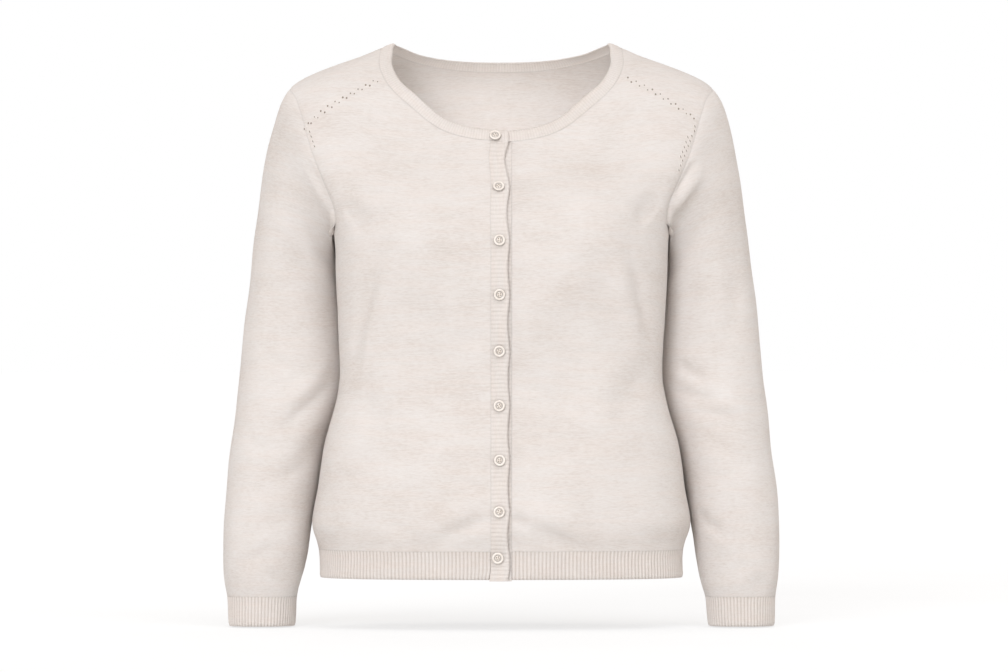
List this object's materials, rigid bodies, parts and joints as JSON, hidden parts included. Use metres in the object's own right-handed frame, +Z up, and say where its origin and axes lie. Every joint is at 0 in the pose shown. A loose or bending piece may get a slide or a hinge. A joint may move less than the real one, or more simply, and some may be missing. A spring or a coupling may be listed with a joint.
{
  "type": "button cardigan",
  "caption": "Fine-knit round-neck cardigan, filled out as worn, with long sleeves, ribbed neck, hem and cuffs, a ribbed button band and slanting eyelet lines under the shoulders.",
  "frame": {"origin": "midway between the two high shoulder points, where the neck band crosses the shoulder seams", "axes": "+Z up, the front faces -Y, +X is the wearer's left; the narrow way, front to back, is along Y"},
  "size_m": [0.6388, 0.3002, 0.6695],
  "materials": {
    "knit": "fine heathered oatmeal knit, matte, slight haze",
    "rib": "the same yarn in narrow rib, matte",
    "button": "off-white, soft pearly gloss"
  },
  "bodies": {
    "root": {"back": "knit", "front_right": "knit", "front_left": "knit", "sleeve_right": "knit", "sleeve_left": "knit", "neckband": "rib", "placket_right": "rib", "placket_left": "rib", "hem_back": "rib", "hem_front_right": "rib", "hem_front_left": "rib", "cuff_right": "rib", "cuff_left": "rib", "button_1": "button", "button_2": "button", "button_3": "button", "button_4": "button", "button_5": "button", "button_6": "button", "button_7": "button", "button_8": "button", "button_9": "button"}
  },
  "joints": []
}
